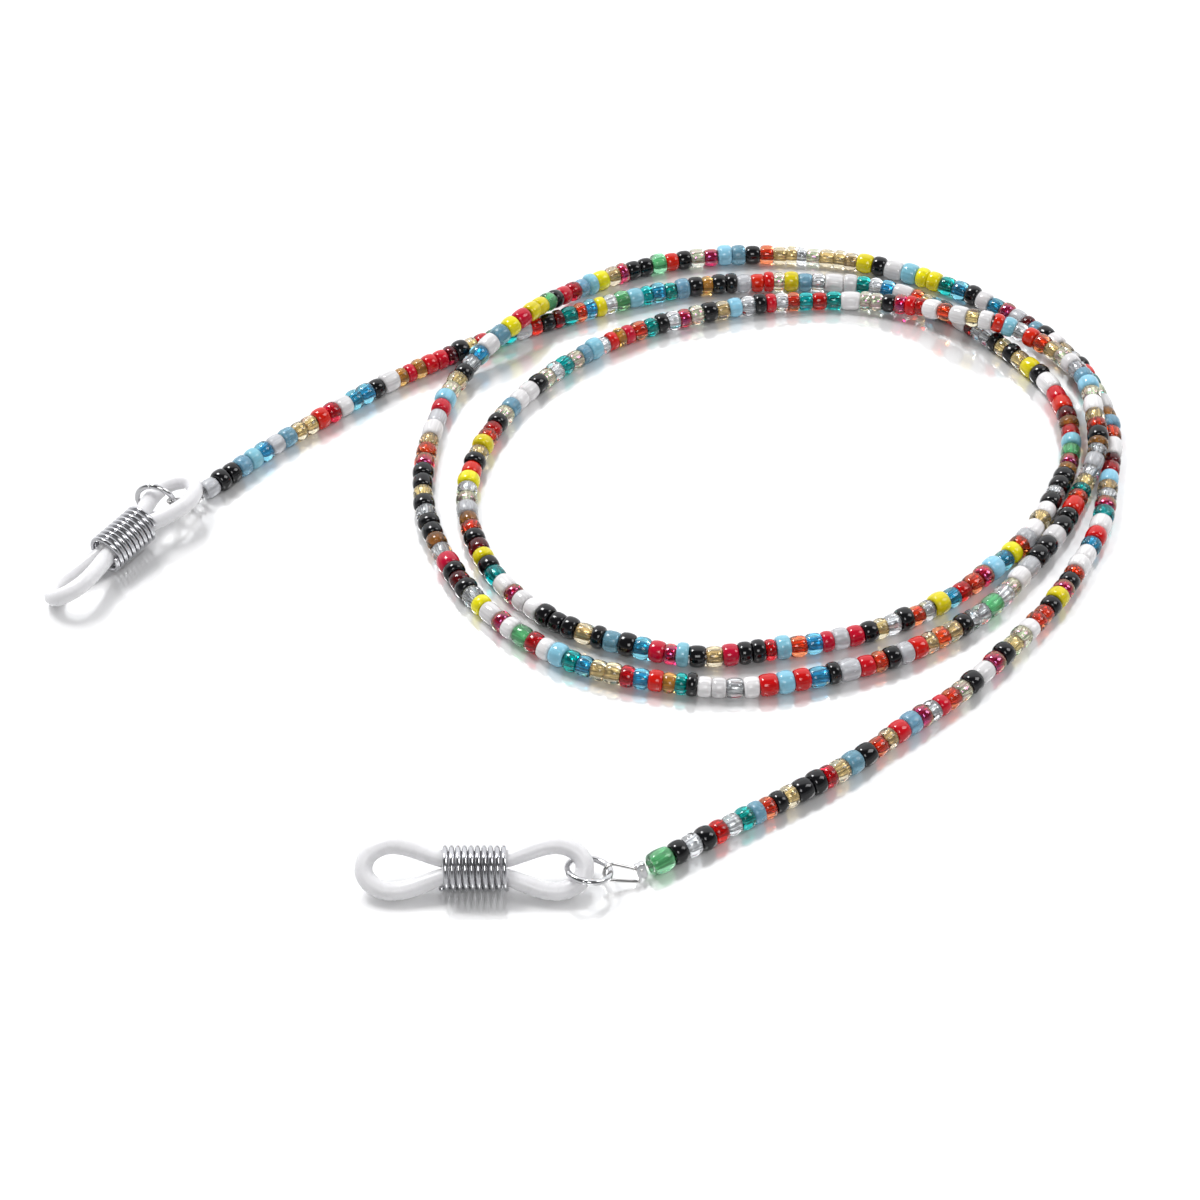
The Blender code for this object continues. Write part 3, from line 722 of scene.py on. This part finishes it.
def add_wire_eye(end, foot, hook, wide):
    """The strand's end turned back as an eye; both its wires run into the crimp."""
    reach = (hook - foot).length
    bow = reach - EYE_BEYOND
    inside = -EYE_GAP - CRIMP[0] * EYE_IN_CRIMP
    along, across = EYE_SHOULDER
    leg = [Vector((x, y, 0)) for x, y in (
        (inside * EYE_GUIDE, EYE_INNER_HALF_WIDTH), (inside, EYE_INNER_HALF_WIDTH),
        (-EYE_GAP, EYE_MOUTH_HALF_WIDTH), (0.0, EYE_FOOT_HALF_WIDTH),
        (along * bow, across * EYE_HALF_WIDTH))]
    outline = list(leg)
    for i in range(EYE_BOW_STEPS + 1):
        angle = pi / 2 - pi * i / EYE_BOW_STEPS
        outline.append(Vector((bow + EYE_HALF_WIDTH * cos(angle),
                               EYE_HALF_WIDTH * sin(angle), 0)))
    outline += [Vector((p.x, -p.y, 0)) for p in reversed(leg)]
    path = smooth_curve(outline, EYE_CURVE_STEPS)
    rings = round_caps(sweep(path, Vector((0, 0, 1)),
                             lambda i: circle(EYE_WIRE_R, WIRE_SIDES)))
    frame_at = placement(foot, hook - foot, wide)
    obj = loft(f"{end}_eye_of_wire", [[frame_at @ p for p in ring] for ring in rings])
    finish_piece(obj, "strand", MATERIALS["thread"], "ring_steel", f"{end}_wire_eye")


def add_jump_ring(end, frame_at):
    """Round wire ring, cut once and bent shut; the cut faces nearly meet."""
    path = []
    for i in range(RING_STEPS + 1):
        angle = RING_CUT_AT + RING_CUT / 2 + (2 * pi - RING_CUT) * i / RING_STEPS
        path.append(Vector((RING_R * cos(angle), RING_R * sin(angle), 0)))
    rings = round_caps(sweep(path, Vector((0, 0, 1)),
                             lambda i: circle(RING_WIRE_R, RING_SIDES)),
                       CUT_INSET, RING_END_DEPTH)
    obj = loft(f"{end}_split_ring", [[frame_at @ p for p in ring] for ring in rings])
    finish_piece(obj, f"{end}_ring", MATERIALS["ring"], "ring_steel", f"{end}_jump_ring")


def add_coil(end, frame_at):
    """Close-wound coil of round wire with both ends cut off square."""
    path = []
    for i in range(COIL_TURNS * COIL_STEPS + 1):
        angle = COIL_START + 2 * pi * i / COIL_STEPS
        along = COIL_PITCH * (i / COIL_STEPS - COIL_TURNS / 2)
        path.append(Vector((along, COIL_R * cos(angle), COIL_R * sin(angle))))
    rings = round_caps(sweep(path, Vector((1, 0, 0)),
                             lambda i: circle(COIL_WIRE_R, WIRE_SIDES)),
                       CUT_INSET, COIL_END_DEPTH)
    obj = loft(f"{end}_wound_coil", [[frame_at @ p for p in ring] for ring in rings])
    finish_piece(obj, f"{end}_coil", MATERIALS["coil"], "coil_steel", f"{end}_coil_spring")


def half_loop():
    """Middle line of half a silicone loop and how far each point is squeezed, 0 to 1."""
    wide = GRIP_HALF_WIDTH - GRIP_R
    arc_x = GRIP_HALF_LENGTH - GRIP_R - TIP_STRETCH * wide
    side = [(0.0, PINCH_OFFSET, 1.0), (SPREAD_START / 2, PINCH_OFFSET, 1.0)]
    for i in range(SPREAD_STEPS):
        t = i / (SPREAD_STEPS - 1)
        x = SPREAD_START + (arc_x - SPREAD_START) * t
        swell = t * (1 + t - t * t)
        side.append((x, PINCH_OFFSET + (wide - PINCH_OFFSET) * swell,
                     max(0.0, 1 - PINCH_RELAX * t)))
    for i in range(1, TIP_STEPS + 1):
        angle = pi / 2 * (1 - i / TIP_STEPS)
        side.append((arc_x + TIP_STRETCH * wide * cos(angle), wide * sin(angle), 0.0))
    return side + [(x, -y, s) for x, y, s in reversed(side[:-1])]


def twisted(x, y, twist):
    """A point of the loop's middle line; the halves beyond the coil are turned apart."""
    turn = twist * max(-1.0, min(1.0, x / SPREAD_START))
    return Vector((x, y * cos(turn), y * sin(turn)))


def add_silicone(end, frame_at):
    """Silicone loop in two halves that meet inside the coil, so its waist follows it."""
    line = half_loop()

    def section(i):
        squeeze = line[i][2]
        squeeze = squeeze * squeeze * (3 - 2 * squeeze)
        a = GRIP_R + (PINCH_WIDE - GRIP_R) * squeeze
        b = GRIP_R + (PINCH_TALL - GRIP_R) * squeeze
        return [(a * x, b * y) for x, y in circle(1.0, CORD_SIDES)]

    for name, turn in (("ring", 1), ("tip", -1)):
        path = [twisted(x * turn, y, TWIST[end]) for x, y, _ in line]
        rings = sweep(path, Vector((0, 0, 1)), section)
        rings = [[frame_at @ p for p in ring] for ring in rings]
        obj = loft(f"{end}_silicone_{name}_half", rings)
        obj.data.materials.append(MATERIALS["silicone"])
        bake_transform(obj)
        finish_piece(obj, None, None, "silicone", f"{end}_silicone_loop")


def add_end(end, start, towards, wide, ring_centre, ring_x, ring_y, grip_at):
    """One end of the chain, from its crimp out to its temple loop."""
    outward = (start - towards).normalized()
    face = start + outward * END_GAP
    foot = face + outward * (CRIMP[0] + EYE_GAP)
    hook = ring_centre + ring_x * RING_R
    add_crimp(end, face, outward, wide)
    add_wire_eye(end, foot, hook, wide)
    add_jump_ring(end, placement(ring_centre, ring_x, ring_y))
    add_coil(end, grip_at)
    add_silicone(end, grip_at)


def add_front_end(line):
    """The near fitting: its ring leans, and its loop lies rolled on one edge."""
    ring_x = Vector((cos(FRONT_RING_SLOPE), 0, -sin(FRONT_RING_SLOPE)))
    ring_y = Vector((0, -cos(FRONT_RING_TILT), sin(FRONT_RING_TILT)))
    grip_at = placement(spot(FRONT_GRIP_CENTRE), (1, 0, 0),
                        (0, cos(FRONT_GRIP_ROLL), sin(FRONT_GRIP_ROLL)))
    add_end("front", line[-1], line[-2], FRONT_EYE_WIDE, spot(FRONT_RING_CENTRE),
            ring_x, ring_y, grip_at)


def add_back_end(line):
    """The far fitting: its ring stands on edge, and its loop points away from the turns."""
    ring_x = Vector((cos(BACK_RING_YAW), sin(BACK_RING_YAW), 0))
    heading = Vector((cos(BACK_GRIP_HEADING), sin(BACK_GRIP_HEADING), 0))
    flat = cos(BACK_GRIP_ROLL)
    grip_at = placement(spot(BACK_GRIP_CENTRE),
                        heading + Vector((0, 0, sin(BACK_GRIP_PITCH))),
                        (-heading.y * flat, heading.x * flat, sin(BACK_GRIP_ROLL)))
    add_end("back", line[0], line[1], BACK_EYE_WIDE, spot(BACK_RING_CENTRE),
            ring_x, (0, 0, 1), grip_at)


# ---------------------------------------------------------------- stage and light
def add_stage():
    bpy.ops.mesh.primitive_grid_add(
        x_subdivisions=FLOOR_SQUARES, y_subdivisions=FLOOR_SQUARES, size=FLOOR_SIZE,
        location=(0, 0, TABLE_Z))
    floor = bpy.context.object
    floor.name = "floor"
    floor.data.materials.append(table_top())


def add_light(name, location, size, watts):
    """A rectangular lamp turned to the lit point."""
    data = bpy.data.lights.new(name, "AREA")
    data.shape = "RECTANGLE"
    data.size, data.size_y = size
    data.energy = watts
    light = bpy.data.objects.new(name, data)
    bpy.context.scene.collection.objects.link(light)
    light.location = location
    towards = Vector(LIT_POINT) - Vector(location)
    light.rotation_euler = towards.to_track_quat("-Z", "Y").to_euler()


def add_lights():
    for values in LIGHTS:
        add_light(*values)


def add_world():
    """A pale studio whose strength is the larger of its parts in each direction."""
    world = bpy.data.worlds.new("studio")
    bpy.context.scene.world = world
    world.use_nodes = True
    tree = world.node_tree
    background = tree.nodes["Background"]
    toward = tree.nodes.new("ShaderNodeSeparateXYZ")
    tree.links.new(tree.nodes.new("ShaderNodeTexCoord").outputs["Generated"],
                   toward.inputs["Vector"])
    strength = tree.nodes.new("ShaderNodeMath")
    strength.operation = "MAXIMUM"
    for slot, (axis, start, end, low, high) in enumerate(WORLD_PARTS):
        part = tree.nodes.new("ShaderNodeMapRange")
        part.interpolation_type = "SMOOTHSTEP"
        for key, value in zip(("From Min", "From Max", "To Min", "To Max"),
                              (start, end, low, high)):
            part.inputs[key].default_value = value
        tree.links.new(toward.outputs[axis], part.inputs["Value"])
        tree.links.new(part.outputs["Result"], strength.inputs[slot])
    tree.links.new(strength.outputs["Value"], background.inputs["Strength"])
    background.inputs["Color"].default_value = WORLD_COLOUR


add_camera()
MATERIALS = {
    "thread": steel("beading_wire_steel", (0.62, 0.61, 0.60), 0.14, 0.24, 9.0),
    "crimp": steel("crimp_metal", (0.68, 0.68, 0.69), 0.10, 0.22, 5.0),
    "ring": steel("jump_ring_steel", (0.66, 0.66, 0.67), 0.05, 0.12, 6.0),
    "coil": steel("coil_spring_steel", (0.57, 0.57, 0.59), 0.07, 0.15, 8.0),
    "silicone": clear_silicone(),
}
BEAD_MATERIALS = {
    letter: (bead_glass(f"{kind[PIECE]}_glass", kind[FINISH], kind[COLOUR]),
             bead_lining(f"{kind[PIECE]}_hole", kind[FINISH], kind[COLOUR]))
    for letter, kind in KINDS.items()
}
LINE, MEASURE, STRUNG = add_strand()
add_wire(LINE)
add_front_end(LINE)
add_back_end(LINE)
add_stage()
add_lights()
add_world()
bpy.context.scene.view_settings.view_transform = "Standard"
